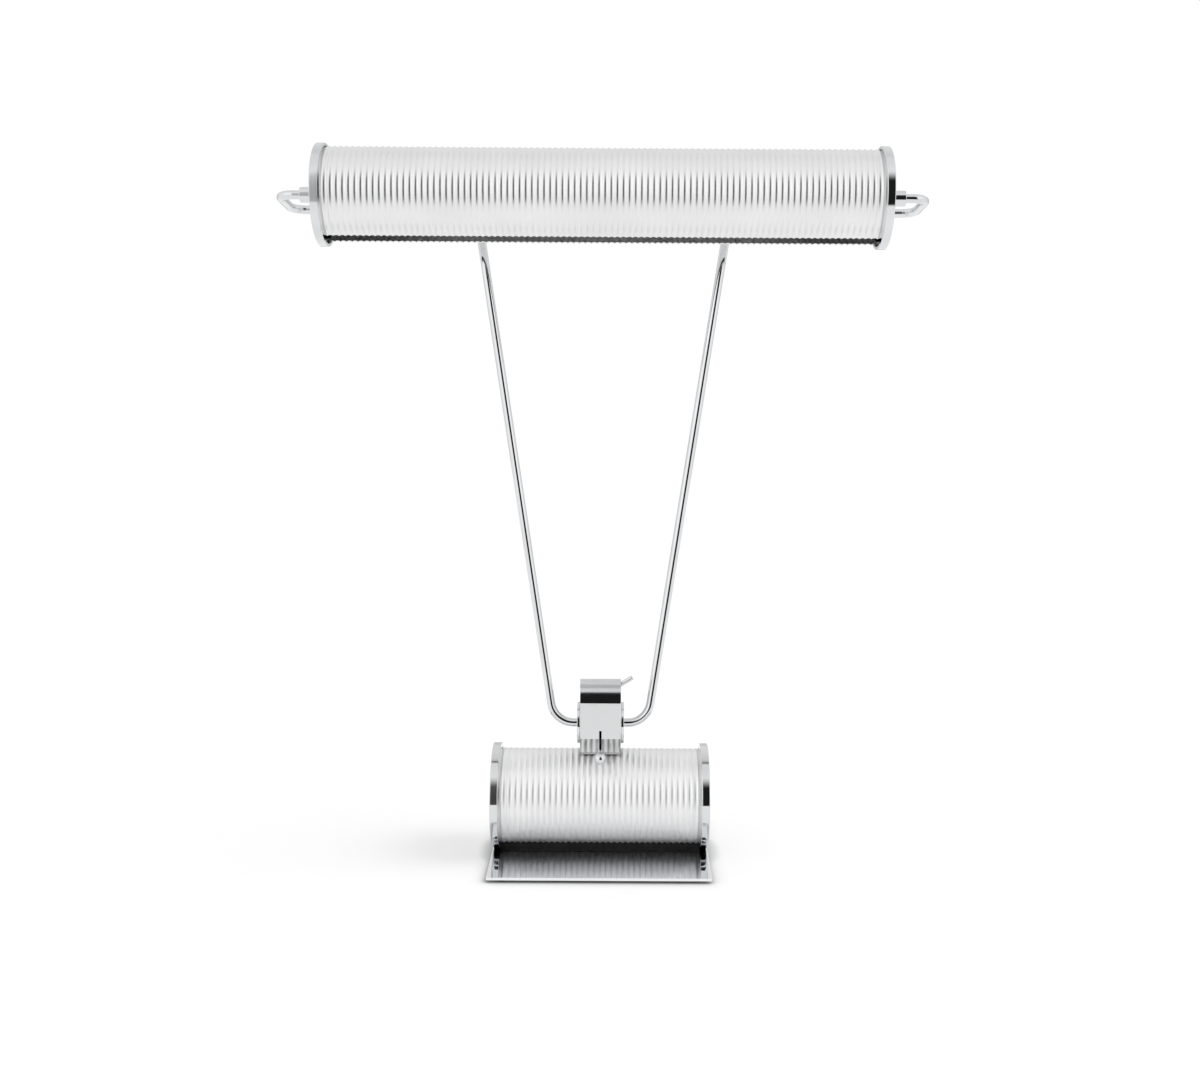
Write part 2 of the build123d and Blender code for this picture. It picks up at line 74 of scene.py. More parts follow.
# %% Camera at the viewing angle of the photograph
IMAGE_WIDTH, IMAGE_HEIGHT = 1200, 1080
FOCAL_PIXELS = 1397.8
CENTRE_PIXEL = (618.3, 532.7)
CAMERA_AT = Vector((0.0092, -0.9671, 0.3472))
YAW, PITCH, ROLL = radians(0.15), radians(6.97), radians(-0.34)
SENSOR_WIDTH = 36.0  # in millimetres, as Blender counts it
NEAREST = 0.01


def camera_axes(yaw, pitch, roll):
    """Right, up and back of a camera that looks along +Y, turned, lowered and rolled."""
    ahead = Vector((sin(yaw) * cos(pitch), cos(yaw) * cos(pitch), -sin(pitch)))
    right = Vector((cos(yaw), -sin(yaw), 0.0))
    down = ahead.cross(right)
    right, down = cos(roll) * right + sin(roll) * down, cos(roll) * down - sin(roll) * right
    return Matrix((right, -down, -ahead)).transposed()


lens = bpy.data.cameras.new("camera")
lens.sensor_fit = "HORIZONTAL"
lens.sensor_width = SENSOR_WIDTH
lens.lens = SENSOR_WIDTH * FOCAL_PIXELS / IMAGE_WIDTH
lens.shift_x = (IMAGE_WIDTH / 2 - CENTRE_PIXEL[0]) / IMAGE_WIDTH
lens.shift_y = (CENTRE_PIXEL[1] - IMAGE_HEIGHT / 2) / IMAGE_WIDTH
lens.clip_start = NEAREST
camera = bpy.data.objects.new("camera", lens)
camera.matrix_world = Matrix.Translation(CAMERA_AT) @ camera_axes(YAW, PITCH, ROLL).to_4x4()
scene.collection.objects.link(camera)
scene.camera = camera
print("lens of", round(lens.lens, 1), "mm, looking down", round(degrees(PITCH), 1), "degrees")

# %% [markdown]
# ## Small helpers for finishes
#
# A finish here is a Principled shader whose tone, gloss and relief come from noise on Object
# coordinates. Those stay with the piece in every pose, because each mesh keeps its place in
# its own vertices. A texture on unwrapped surfaces could do the same, but forty pieces would
# have to be unwrapped. One number that is the same all over is set on the shader itself.


# %% Helpers that start a finish and give it noise
def new_finish(name, **sockets):
    """A material with a Principled shader whose sockets are set by name."""
    finish = bpy.data.materials.new(name)
    finish.use_nodes = True
    tree = finish.node_tree
    shader = tree.nodes["Principled BSDF"]
    for socket, value in sockets.items():
        shader.inputs[socket.replace("_", " ")].default_value = value
    return finish, tree, shader


def object_noise(tree, scale, detail=3.0, stretch=(1.0, 1.0, 1.0)):
    """Noise on Object coordinates, with a stretch along each axis."""
    place = tree.nodes.new("ShaderNodeTexCoord")
    mapping = tree.nodes.new("ShaderNodeMapping")
    mapping.inputs["Scale"].default_value = stretch
    noise = tree.nodes.new("ShaderNodeTexNoise")
    noise.inputs["Scale"].default_value = scale
    noise.inputs["Detail"].default_value = detail
    tree.links.new(place.outputs["Object"], mapping.inputs["Vector"])
    tree.links.new(mapping.outputs["Vector"], noise.inputs["Vector"])
    return noise.outputs["Fac"]


def map_range(tree, value, start, end, low=0.0, high=1.0, kind="LINEAR"):
    """Maps a value from one range to another and holds it at the ends."""
    node = tree.nodes.new("ShaderNodeMapRange")
    node.interpolation_type = kind
    limits = (("From Min", start), ("From Max", end), ("To Min", low), ("To Max", high))
    for socket, limit in limits:
        node.inputs[socket].default_value = limit
    tree.links.new(value, node.inputs["Value"])
    return node.outputs["Result"]


print("finishes can be started")

# %% [markdown]
# Three helpers then say what the noise does: it blends two tones, varies the gloss, or raises
# the surface a little. Noise seldom reaches 0 or 1, so its usual range is stretched first.

# %% Helpers that use the noise
NOISE_LOW, NOISE_HIGH = 0.3, 0.7


def grey(tone):
    """A colour without a hue."""
    return (tone, tone, tone)


def tint(tree, shader, value, dark, light):
    """Blends the base colour between two tones with a value."""
    ramp = tree.nodes.new("ShaderNodeValToRGB")
    stops = zip(ramp.color_ramp.elements, (NOISE_LOW, NOISE_HIGH), (dark, light))
    for stop, place, tone in stops:
        stop.position = place
        stop.color = (*tone, 1.0)
    tree.links.new(value, ramp.inputs["Fac"])
    tree.links.new(ramp.outputs["Color"], shader.inputs["Base Color"])


def gloss(tree, shader, value, smooth, rough):
    """Lets the roughness vary between two limits with a value."""
    roughness = map_range(tree, value, NOISE_LOW, NOISE_HIGH, smooth, rough)
    tree.links.new(roughness, shader.inputs["Roughness"])


def bump(tree, shader, height, strength, depth):
    """Feeds a height into the shader as a bump."""
    node = tree.nodes.new("ShaderNodeBump")
    node.inputs["Strength"].default_value = strength
    node.inputs["Distance"].default_value = depth
    tree.links.new(height, node.inputs["Height"])
    tree.links.new(node.outputs["Normal"], shader.inputs["Normal"])


def dress(finish, *names):
    """Gives CAD nodes a finish in place of the plain one from the frame."""
    for name in names:
        slots = nodes[name].data.materials
        for index in range(len(slots)):
            slots[index] = finish
    print(finish.name, "on", len(names), "nodes")


print("noise between", NOISE_LOW, "and", NOISE_HIGH, "is stretched to the limits of a finish")

# %% [markdown]
# ## Chrome
#
# The rods, caps, clamp and plate are chrome plated. Chrome gives back about seven tenths of
# the light and is faintly cold in tone. It is never quite a perfect mirror: polishing leaves
# cloudy patches of slightly different gloss and a very gentle waviness. Both come from noise
# that is several millimetres wide, because finer noise would look like sandblasting.

# %% Polished chrome
WAVE_DEPTH = 0.0004
CHROME_POLISH = {"clouds": 160.0, "smooth": 0.035, "rough": 0.075, "waves": 70.0, "strength": 0.04}


def polish(tree, shader, clouds, smooth, rough, waves, strength):
    """Cloudy patches of gloss and a gentle waviness, as polishing leaves them."""
    gloss(tree, shader, object_noise(tree, clouds, detail=4.0), smooth, rough)
    bump(tree, shader, object_noise(tree, waves, detail=1.0), strength, WAVE_DEPTH)


chrome, tree, shader = new_finish("polished_chrome", Metallic=1.0)
tint(tree, shader, object_noise(tree, scale=35.0), (0.68, 0.69, 0.70), (0.74, 0.75, 0.76))
polish(tree, shader, **CHROME_POLISH)
dress(
    chrome,
    "base_cap_left", "base_cap_right", "clamp_lever",
    "switch_lever", "switch_ball", "arm_rod_left", "arm_rod_right", "arm_disc_left",
    "arm_disc_right", "arm_collar_left", "arm_collar_right", "shade_cap_left", "shade_cap_right",
)

# %% [markdown]
# The clamp block is the same chrome, but its foot stands in the grooves of the base, where
# shade falls between the block and the ridges. Its tone falls off to a grey over the last half
# millimetre, which is painted shade. A ramp on the height does that, and a second piece for the
# foot isn't needed.

# %% Chrome of the clamp block with painted shade at its foot
FOOT_SHADE_FULL, FOOT_SHADE_GONE = 0.0740, 0.0746

clamp_chrome, tree, shader = new_finish("clamp_chrome", Metallic=1.0)
spot = tree.nodes.new("ShaderNodeSeparateXYZ")
tree.links.new(tree.nodes.new("ShaderNodeTexCoord").outputs["Object"], spot.inputs[0])
# Painted shade: below the block's foot edge the chrome darkens to grey.
height = map_range(tree, spot.outputs["Z"], FOOT_SHADE_FULL, FOOT_SHADE_GONE)
tint(tree, shader, height, grey(0.38), (0.68, 0.685, 0.69))
polish(tree, shader, **CHROME_POLISH)
dress(clamp_chrome, "clamp_block")

# %% [markdown]
# The plate is chrome too, but flat and large, so its waviness shows more and its tone reads a
# little brighter and bluer. It gets a finish of its own with broader noise and a calmer
# surface, sharp enough to show the flutes above it.

# %% Mirror plate
mirror, tree, shader = new_finish("mirror_plate", Metallic=1.0)
tint(tree, shader, object_noise(tree, scale=14.0), (0.86, 0.87, 0.89), (0.91, 0.92, 0.935))
polish(tree, shader, clouds=90.0, smooth=0.01, rough=0.03, waves=25.0, strength=0.02)
dress(mirror, "base_plate")

# %% [markdown]
# The locking roll is gripped by fingers, so it is brushed instead of polished. The brush marks
# run round the roll, like those of a belt grinder, and blur what it reflects. Noise makes them
# too: squeezed along one axis, it turns into fine lines.

# %% Brushed chrome of the locking roll
MARK_DEPTH = 0.00005
ROLL_MARKS = (6000.0, 60.0, 60.0)


def brush(tree, shader, marks, smooth, rough, strength):
    """Fine marks in one direction, from noise that is squeezed across them."""
    lines = object_noise(tree, scale=1.0, detail=2.0, stretch=marks)
    gloss(tree, shader, lines, smooth, rough)
    bump(tree, shader, lines, strength, MARK_DEPTH)


brushed, tree, shader = new_finish("brushed_chrome", Metallic=1.0)
tint(tree, shader, object_noise(tree, scale=60.0), (0.70, 0.71, 0.72), (0.76, 0.77, 0.775))
brush(tree, shader, ROLL_MARKS, smooth=0.45, rough=0.57, strength=0.08)
dress(brushed, "clamp_roll")

# %% [markdown]
# ## Flutes
#
# Both tubes have shallow grooves all the way round, 4 mm apart, with a sharp ridge between
# each two. In the photograph the ridges are bright and the bottoms of the grooves are dark
# where the tube faces the viewer, and that only happens when the grooves are hollow and the
# ridges sharp. A bump map could fake it, but the outline would stay straight. So one groove
# is shaped by Geometry Nodes, repeated along the tube, and given the thickness of the sheet.
# The tree first gets its sizes as named inputs.

# %% Inputs of a fluted sheet
SHEET_INPUTS = {
    "Grooves": "NodeSocketInt",
    "Pitch": "NodeSocketFloat",
    "Ridge Radius": "NodeSocketFloat",
    "Groove Depth": "NodeSocketFloat",
    "Start Angle": "NodeSocketFloat",
    "Sweep": "NodeSocketFloat",
    "Axis Height": "NodeSocketFloat",
    "Steps Across": "NodeSocketInt",
    "Steps Round": "NodeSocketInt",
    "Finish": "NodeSocketMaterial",
}


def new_tree(name, inputs):
    """A Geometry Nodes tree with named inputs, and the sockets at its two ends."""
    tree = bpy.data.node_groups.new(name, "GeometryNodeTree")
    tree.interface.new_socket("Geometry", in_out="INPUT", socket_type="NodeSocketGeometry")
    for socket, kind in inputs.items():
        tree.interface.new_socket(socket, in_out="INPUT", socket_type=kind)
    tree.interface.new_socket("Geometry", in_out="OUTPUT", socket_type="NodeSocketGeometry")
    given = tree.nodes.new("NodeGroupInput").outputs
    result = tree.nodes.new("NodeGroupOutput").inputs["Geometry"]
    return tree, given, result


fluted_sheet, given, result = new_tree("fluted_sheet", SHEET_INPUTS)
print("fluted_sheet has", len(SHEET_INPUTS), "inputs")

# %% [markdown]
# The groove starts as a flat grid. Its X runs from -1 to 1 across the groove and its Y round
# the tube. A parabola over X hollows it out, and the sine and cosine of an angle bend it round.


# %% One groove
def add_calc(tree, operation, first, second=None):
    """A Math node fed by sockets or plain numbers."""
    node = tree.nodes.new("ShaderNodeMath")
    node.operation = operation
    for socket, value in zip(node.inputs, (first, second)):
        if isinstance(value, (int, float)):
            socket.default_value = value
        elif value is not None:
            tree.links.new(value, socket)
    return node.outputs[0]


def combine(tree, **parts):
    """A vector whose named parts come from sockets, and whose other parts are 0."""
    node = tree.nodes.new("ShaderNodeCombineXYZ")
    for part, value in parts.items():
        tree.links.new(value, node.inputs[part])
    return node.outputs[0]


def one_groove(tree, given):
    """A grid that is hollowed out and bent round the tube."""
    calc = partial(add_calc, tree)
    grid = tree.nodes.new("GeometryNodeMeshGrid")
    grid.inputs["Size X"].default_value = 2.0
    grid.inputs["Size Y"].default_value = 1.0
    tree.links.new(calc("ADD", given["Steps Across"], 1), grid.inputs["Vertices X"])
    tree.links.new(calc("ADD", given["Steps Round"], 1), grid.inputs["Vertices Y"])
    spot = tree.nodes.new("ShaderNodeSeparateXYZ")
    tree.links.new(tree.nodes.new("GeometryNodeInputPosition").outputs[0], spot.inputs[0])
    across, share = spot.outputs["X"], calc("ADD", spot.outputs["Y"], 0.5)

    hollow = calc("SUBTRACT", 1.0, calc("MULTIPLY", across, across))
    depth = calc("MULTIPLY", given["Groove Depth"], hollow)
    radius = calc("SUBTRACT", given["Ridge Radius"], depth)
    angle = calc("ADD", given["Start Angle"], calc("MULTIPLY", given["Sweep"], share))
    forward = calc("MULTIPLY", radius, calc("COSINE", angle))
    rise = calc("MULTIPLY", radius, calc("SINE", angle))
    bent = combine(
        tree,
        X=calc("MULTIPLY", across, calc("DIVIDE", given["Pitch"], 2.0)),
        Y=calc("MULTIPLY", forward, -1.0),
        Z=calc("ADD", rise, given["Axis Height"]),
    )
    groove = tree.nodes.new("GeometryNodeSetPosition")
    tree.links.new(grid.outputs["Mesh"], groove.inputs["Geometry"])
    tree.links.new(bent, groove.inputs["Position"])
    return groove.outputs["Geometry"]


groove = one_groove(fluted_sheet, given)
print("one groove takes", len(fluted_sheet.nodes), "nodes")

# %% [markdown]
# A row of points along the tube then carries one copy of the groove each. The copies become
# real faces and take their finish, because an export would drop mere instances.


# %% Row of grooves
def row_of_points(tree, given):
    """One point for each groove, a pitch apart and centred on the middle of the tube."""
    calc = partial(add_calc, tree)
    gaps = calc("SUBTRACT", given["Grooves"], 1)
    start = calc("MULTIPLY", calc("MULTIPLY", gaps, given["Pitch"]), -0.5)
    row = tree.nodes.new("GeometryNodeMeshLine")
    row.mode = "OFFSET"
    tree.links.new(given["Grooves"], row.inputs["Count"])
    tree.links.new(combine(tree, X=start), row.inputs["Start Location"])
    tree.links.new(combine(tree, X=given["Pitch"]), row.inputs["Offset"])
    return row.outputs["Mesh"]


repeat = fluted_sheet.nodes.new("GeometryNodeInstanceOnPoints")
real = fluted_sheet.nodes.new("GeometryNodeRealizeInstances")
coat = fluted_sheet.nodes.new("GeometryNodeSetMaterial")
for output, socket in (
    (row_of_points(fluted_sheet, given), repeat.inputs["Points"]),
    (groove, repeat.inputs["Instance"]),
    (repeat.outputs["Instances"], real.inputs["Geometry"]),
    (real.outputs["Geometry"], coat.inputs["Geometry"]),
    (given["Finish"], coat.inputs["Material"]),
    (coat.outputs["Geometry"], result),
):
    fluted_sheet.links.new(output, socket)
print("fluted_sheet has", len(fluted_sheet.nodes), "nodes")

# %% [markdown]
# The aluminium of the tubes is brighter than the chrome and a little softer, because turning
# the grooves leaves fine rings. The rings run round the tube, so their noise is squeezed
# along X and nearly constant in the other two directions. The base is held and wiped more
# often than the shade, so its gloss is duller. The two tubes are one metal, but the base gets
# a lighter tone than the shade: painted light for the brighter room that the base mirrors.
# Inside, the sheet is grey and was never polished.

# %% Bright turned aluminium, and the dull inside of the sheet
TURNED_RINGS = (9000.0, 40.0, 40.0)
TONE_SPREAD = 0.02


def turned_aluminium(name, tone, smooth, rough):
    """Turned aluminium of a given grey, with a roughness that varies from ring to ring."""
    finish, tree, shader = new_finish(name, Metallic=1.0)
    dark, light = grey(tone - TONE_SPREAD), grey(tone + TONE_SPREAD)
    tint(tree, shader, object_noise(tree, scale=30.0), dark, light)
    brush(tree, shader, TURNED_RINGS, smooth, rough, strength=0.05)
    return finish


# The base's lighter tone is painted light; the metal of both tubes is the same.
bright_aluminium = turned_aluminium("bright_aluminium", tone=0.80, smooth=0.26, rough=0.34)
wiped_aluminium_painted_lighter = turned_aluminium("wiped_aluminium_painted_lighter", tone=0.90, smooth=0.40, rough=0.48)
dull_inside, tree, shader = new_finish("dull_inside")
tint(tree, shader, object_noise(tree, scale=80.0), grey(0.55), grey(0.64))
gloss(tree, shader, object_noise(tree, scale=400.0), smooth=0.5, rough=0.7)
print(bright_aluminium.name, wiped_aluminium_painted_lighter.name, "and", dull_inside.name, "are ready")

# %% [markdown]
# A tree's result lasts only as long as its modifier, so it is copied into a plain mesh, and
# the modifier goes. The grooves are still separate strips then. Merging the corners that
# coincide makes them one sheet, and the edges along the ridges are marked sharp.

# %% Helpers that turn a node tree into a plain piece
WELD_REACH = 0.00001
RIDGE_ANGLE = radians(25)


def plain(carrier):
    """Replaces an object's mesh by what its modifiers give, and removes them."""
    evaluated = carrier.evaluated_get(bpy.context.evaluated_depsgraph_get())
    mesh = bpy.data.meshes.new_from_object(evaluated)
    carrier.modifiers.clear()
    carrier.data = mesh
    return carrier


def piece_from_tree(name, tree, values):
    """Runs a node tree with the given inputs and keeps the result as a plain mesh."""
    carrier = bpy.data.objects.new(name, bpy.data.meshes.new(name))
    scene.collection.objects.link(carrier)
    modifier = carrier.modifiers.new(name, "NODES")
    modifier.node_group = tree
    for item in tree.interface.items_tree:
        if item.in_out == "INPUT" and item.name in values:
            modifier[item.identifier] = values[item.name]
    return plain(carrier)


def weld(piece):
    """Merges coincident corners, shades faces smoothly and keeps the ridges sharp."""
    shape = bmesh.new()
    shape.from_mesh(piece.data)
    bmesh.ops.remove_doubles(shape, verts=shape.verts, dist=WELD_REACH)
    for face in shape.faces:
        face.smooth = True
    for edge in shape.edges:
        edge.smooth = len(edge.link_faces) == 2 and edge.calc_face_angle() < RIDGE_ANGLE
    shape.to_mesh(piece.data)
    shape.free()


print("edges over", round(degrees(RIDGE_ANGLE)), "degrees count as ridges")

# %% [markdown]
# The shade's sheet stops at the light slot, and the base's goes all the way round. Their
# sizes are read off the CAD nodes that they replace. A Solidify modifier then gives the sheet
# its thickness inwards, so the outside stays where the ridges are.

# %% Fluted tubes of the base and the shade
FLUTE_PITCH = 0.004
GROOVE_DEPTH = 0.0008
SHEET = 0.0006
STEPS_ACROSS = 5
FULL_TURN = 360.0
SLOT_FRONT, SLOT_BACK = -62.0, -108.0


def fluted_tube(name, body, finish, start, sweep, steps_round):
    """A fluted sheet in place of a CAD skin, with the same length, axis and ridges."""
    low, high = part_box(name)
    radius = (high.y - low.y) / 2
    sizes = {
        "Grooves": round((high.x - low.x) / FLUTE_PITCH),
        "Pitch": FLUTE_PITCH,
        "Ridge Radius": radius,
        "Groove Depth": GROOVE_DEPTH,
        "Start Angle": radians(start),
        "Sweep": radians(sweep),
        "Axis Height": high.z - radius,
        "Steps Across": STEPS_ACROSS,
        "Steps Round": steps_round,
        "Finish": finish,
    }
    tube = piece_from_tree(name + "_fluted", fluted_sheet, sizes)
    weld(tube)
    wall = tube.modifiers.new("sheet", "SOLIDIFY")
    wall.thickness = SHEET
    wall.offset = -1.0
    wall.use_even_offset = True
    wall.material_offset = 1
    tube.data.materials.append(dull_inside)
    plain(tube)
    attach(tube, body)
    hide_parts(name)
    print(tube.name, "has", len(tube.data.polygons), "faces")


shade_sweep = FULL_TURN + SLOT_BACK - SLOT_FRONT
fluted_tube("base_skin", "base", wiped_aluminium_painted_lighter, start=0.0, sweep=FULL_TURN, steps_round=96)
fluted_tube("shade_skin", "shade", bright_aluminium, SLOT_FRONT, shade_sweep, steps_round=84)

# %% [markdown]
# ## Inside the shade
#
# Through the slot one sees the reflector, the lampholders and the bulbs. The reflector is
# plain satin aluminium, the holders are black moulded plastic, and the bulbs have brass caps
# and frosted glass. Plain noise is enough for parts that are seen only through a gap.

# %% Finishes inside the shade
reflector, tree, shader = new_finish("satin_reflector", Metallic=1.0)
tint(tree, shader, object_noise(tree, scale=40.0), grey(0.78), grey(0.84))
gloss(tree, shader, object_noise(tree, scale=600.0), smooth=0.32, rough=0.42)
dress(reflector, "shade_liner")

plastic, tree, shader = new_finish("black_moulding")
tint(tree, shader, object_noise(tree, scale=200.0), grey(0.018), (0.03, 0.029, 0.028))
gloss(tree, shader, object_noise(tree, scale=500.0), smooth=0.35, rough=0.5)
bump(tree, shader, object_noise(tree, scale=2500.0), strength=0.15, depth=0.0001)
dress(plastic, "lampholder_left", "lampholder_right", "switch_body")

brass, tree, shader = new_finish("spun_brass", Metallic=1.0)
tint(tree, shader, object_noise(tree, scale=120.0), (0.60, 0.42, 0.17), (0.72, 0.53, 0.24))
gloss(tree, shader, object_noise(tree, scale=400.0), smooth=0.22, rough=0.36)
dress(brass, "bulb_cap_left", "bulb_cap_right", "shade_bush_left", "shade_bush_right")

glass, tree, shader = new_finish("frosted_bulb", Transmission_Weight=0.55, IOR=1.45)
tint(tree, shader, object_noise(tree, scale=60.0), (0.88, 0.88, 0.86), (0.94, 0.94, 0.93))
gloss(tree, shader, object_noise(tree, scale=900.0), smooth=0.42, rough=0.52)
dress(glass, "bulb_glass_left", "bulb_glass_right")

# %% [markdown]
# ## Small hardware
#
# The bolts, straps, pins and shaft are bare steel with fine brush marks, the weight in the
# base is raw cast iron, and the pads and the grommet for the lead are black rubber. Most of it
# is hidden, and it is finished all the same, because the lamp may be taken apart.

# %% Finishes of the small hardware
STEEL_MARKS = (3000.0, 3000.0, 120.0)

steel, tree, shader = new_finish("bare_steel", Metallic=1.0)
tint(tree, shader, object_noise(tree, scale=80.0), (0.46, 0.465, 0.47), (0.56, 0.565, 0.57))
brush(tree, shader, STEEL_MARKS, smooth=0.25, rough=0.4, strength=0.08)
dress(
    steel,
    "base_bolts", "clamp_axle", "switch_pin", "arm_shaft", "arm_retainer_left",
    "arm_retainer_right", "holder_strap_left", "holder_strap_right",
)

iron, tree, shader = new_finish("raw_iron", Metallic=0.6)
patches = object_noise(tree, scale=250.0, detail=6.0)
tint(tree, shader, patches, (0.10, 0.10, 0.105), (0.19, 0.185, 0.18))
gloss(tree, shader, object_noise(tree, scale=500.0), smooth=0.6, rough=0.8)
bump(tree, shader, object_noise(tree, scale=900.0, detail=6.0), strength=0.4, depth=0.0003)
dress(iron, "base_ballast")

rubber, tree, shader = new_finish("matt_rubber")
tint(tree, shader, object_noise(tree, scale=300.0), grey(0.015), (0.028, 0.027, 0.026))
gloss(tree, shader, object_noise(tree, scale=800.0), smooth=0.65, rough=0.85)
bump(tree, shader, object_noise(tree, scale=3000.0), strength=0.2, depth=0.0001)
dress(rubber, "base_pads", "cord_gland")

# %% [markdown]
# ## Saddle bars
#
# Two rubber bars lie end to end between the plate and the base tube. Seen from the front they
# are the black wedge under the tube. Rubber is cut a little long and pressed together, so no
# light may show between the bars or beside the caps. Each bar is one section, flat below and
# hollow on top to fit the ridges, drawn out along the tube.

# %% Saddle bars under the base
SADDLE_STEPS = 8
SEAM = 0.00002


def bar_section(low, high, axis_height, radius):
    """Corners of a bar's end: flat below, hollow on top."""
    width = high.y - low.y
    top = [low.y + width * step / SADDLE_STEPS for step in range(SADDLE_STEPS, -1, -1)]
    hollow = [(y, axis_height - (radius**2 - y**2) ** 0.5) for y in top]
    return [(low.y, low.z), (high.y, low.z)] + hollow


def add_bar(shape, section, start, end):
    """Draws a section out along X between two places and closes both ends."""
    near = [shape.verts.new((start, y, z)) for y, z in section]
    far = [shape.verts.new((end, y, z)) for y, z in section]
    for index in range(len(section)):
        after = (index + 1) % len(section)
        shape.faces.new((near[index], near[after], far[after], far[index]))
    shape.faces.new(list(reversed(near)))
    shape.faces.new(far)


skin_low, skin_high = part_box("base_skin")
skin_radius = (skin_high.y - skin_low.y) / 2
section = bar_section(*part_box("base_spacers"), skin_high.z - skin_radius, skin_radius + SEAM)
bar_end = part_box("base_cap_right")[0].x - SEAM
shape = bmesh.new()
add_bar(shape, section, -bar_end, -SEAM)
add_bar(shape, section, SEAM, bar_end)
bars = bpy.data.objects.new("saddle_bars", bpy.data.meshes.new("saddle_bars"))
shape.to_mesh(bars.data)
shape.free()
bars.data.materials.append(rubber)
scene.collection.objects.link(bars)
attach(bars, "base")
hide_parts("base_spacers")
print("saddle bars of", round(bar_end * 1000, 1), "mm each")

# %% [markdown]
# ## Studio
#
# Polished metal shows the room, so the room is half of the likeness. The reflections on the
# lamp look like those of a white tent with a dark opening on the viewer's side. The opening is
# the dark line down each rod, the black part of each cap and the dark bottoms of the flutes.
# Lamps and screens could build such a room, but a world painted by direction is simpler and
# lights the metal evenly. Two helpers draw soft edges at given angles.


# %% Helpers that paint by direction
def after(tree, angle, start, end):
    """0 before the first angle and 1 after the second, in degrees, smooth between."""
    return map_range(tree, angle, radians(start), radians(end), kind="SMOOTHSTEP")


def before(tree, angle, start, end):
    """1 before the first angle and 0 after the second, in degrees, smooth between."""
    return add_calc(tree, "SUBTRACT", 1.0, after(tree, angle, start, end))


def band(tree, angle, start, end, soft):
    """1 between two angles, with soft ends."""
    begins = after(tree, angle, start - soft, start + soft)
    ends = before(tree, angle, end - soft, end + soft)
    return add_calc(tree, "MULTIPLY", begins, ends)


print("soft edges can be painted")

# %% [markdown]
# The tent is white, with brighter walls to the left and right of the opening, a softer grey
# behind the lamp, greyer still low down there, and a slightly greyer top. Each of these zones
# changes the tone by a small share, and the opening takes nearly all of it away. The viewer
# sees plain white, and so does light that passes through the bulbs.

# %% World painted by direction
# Angles are in degrees. A turn is counted from the viewer's side to the right, a rise from
# level. A share is how much a zone adds to the tone or, below 0, takes away. The opening's
# share is of all the tone there.
OPENING_LEFT, OPENING_RIGHT = (-22.0, -2.0), (28.0, 42.0)
OPENING_FOOT, OPENING_TOP = (-24.0, -18.0), (32.0, 58.0)
OPENING_SHARE = 0.985
WALL_TURN, WALL_RISE, WALL_SOFT, WALL_SHARE = (20.0, 72.0), (2.0, 44.0), 14.0, 0.25
BEHIND_TURN, BEHIND_SHARE = (90.0, 150.0), -0.12
LOW_RISE, LOW_SOFT, LOW_SHARE = (-30.0, 22.0), 12.0, -0.20
TOP_RISE, TOP_SHARE = (50.0, 80.0), -0.08


def paint_tone(tree):
    """The tone of the tent in each direction."""
    calc = partial(add_calc, tree)
    way = tree.nodes.new("ShaderNodeSeparateXYZ")
    tree.links.new(tree.nodes.new("ShaderNodeTexCoord").outputs["Generated"], way.inputs[0])
    turn = calc("ARCTAN2", way.outputs["X"], calc("MULTIPLY", way.outputs["Y"], -1.0))
    rise = calc("ARCSINE", way.outputs["Z"])
    aside = calc("ABSOLUTE", turn)

    wide = calc("MULTIPLY", after(tree, turn, *OPENING_LEFT), before(tree, turn, *OPENING_RIGHT))
    tall = calc("MULTIPLY", after(tree, rise, *OPENING_FOOT), before(tree, rise, *OPENING_TOP))
    opening = calc("MULTIPLY", wide, tall)
    sides = band(tree, aside, *WALL_TURN, WALL_SOFT)
    walls = calc("MULTIPLY", sides, band(tree, rise, *WALL_RISE, WALL_SOFT))
    behind = after(tree, aside, *BEHIND_TURN)
    low = calc("MULTIPLY", behind, band(tree, rise, *LOW_RISE, LOW_SOFT))
    top = after(tree, rise, *TOP_RISE)

    tone = 1.0
    zones = ((behind, BEHIND_SHARE), (low, LOW_SHARE), (top, TOP_SHARE), (walls, WALL_SHARE))
    for zone, share in zones:
        tone = calc("ADD", tone, calc("MULTIPLY", zone, share))
    left_over = calc("SUBTRACT", 1.0, calc("MULTIPLY", opening, OPENING_SHARE))
    return calc("MULTIPLY", tone, left_over)


world = bpy.data.worlds.new("white_tent")
world.use_nodes = True
tree = world.node_tree
calc = partial(add_calc, tree)
path = tree.nodes.new("ShaderNodeLightPath").outputs
seen = calc("MAXIMUM", path["Is Camera Ray"], path["Is Transmission Ray"])
painted = calc("MULTIPLY", paint_tone(tree), calc("SUBTRACT", 1.0, seen))
tent = tree.nodes["Background"]
tent.inputs["Color"].default_value = (*grey(1.0), 1.0)
tree.links.new(calc("ADD", painted, seen), tent.inputs["Strength"])
scene.world = world
print("world painted with", len(tree.nodes), "nodes")

# %% [markdown]
# The table is a white sheet that runs past the frame in front and at the sides. Half of its
# tone is plain white and half is matt, which keeps a light shadow. The plain part fades in
# crevices as painted shade, so the narrow gap under the plate stays dark. A matt white alone
# would need more light on the lamp to turn out white.

# %% White finish of the table
TABLE_TONE, TABLE_GLOW, PLAIN_SHARE = 0.92, 0.9, 0.5
CREVICE_REACH, CREVICE_FADE = 0.012, 3.0

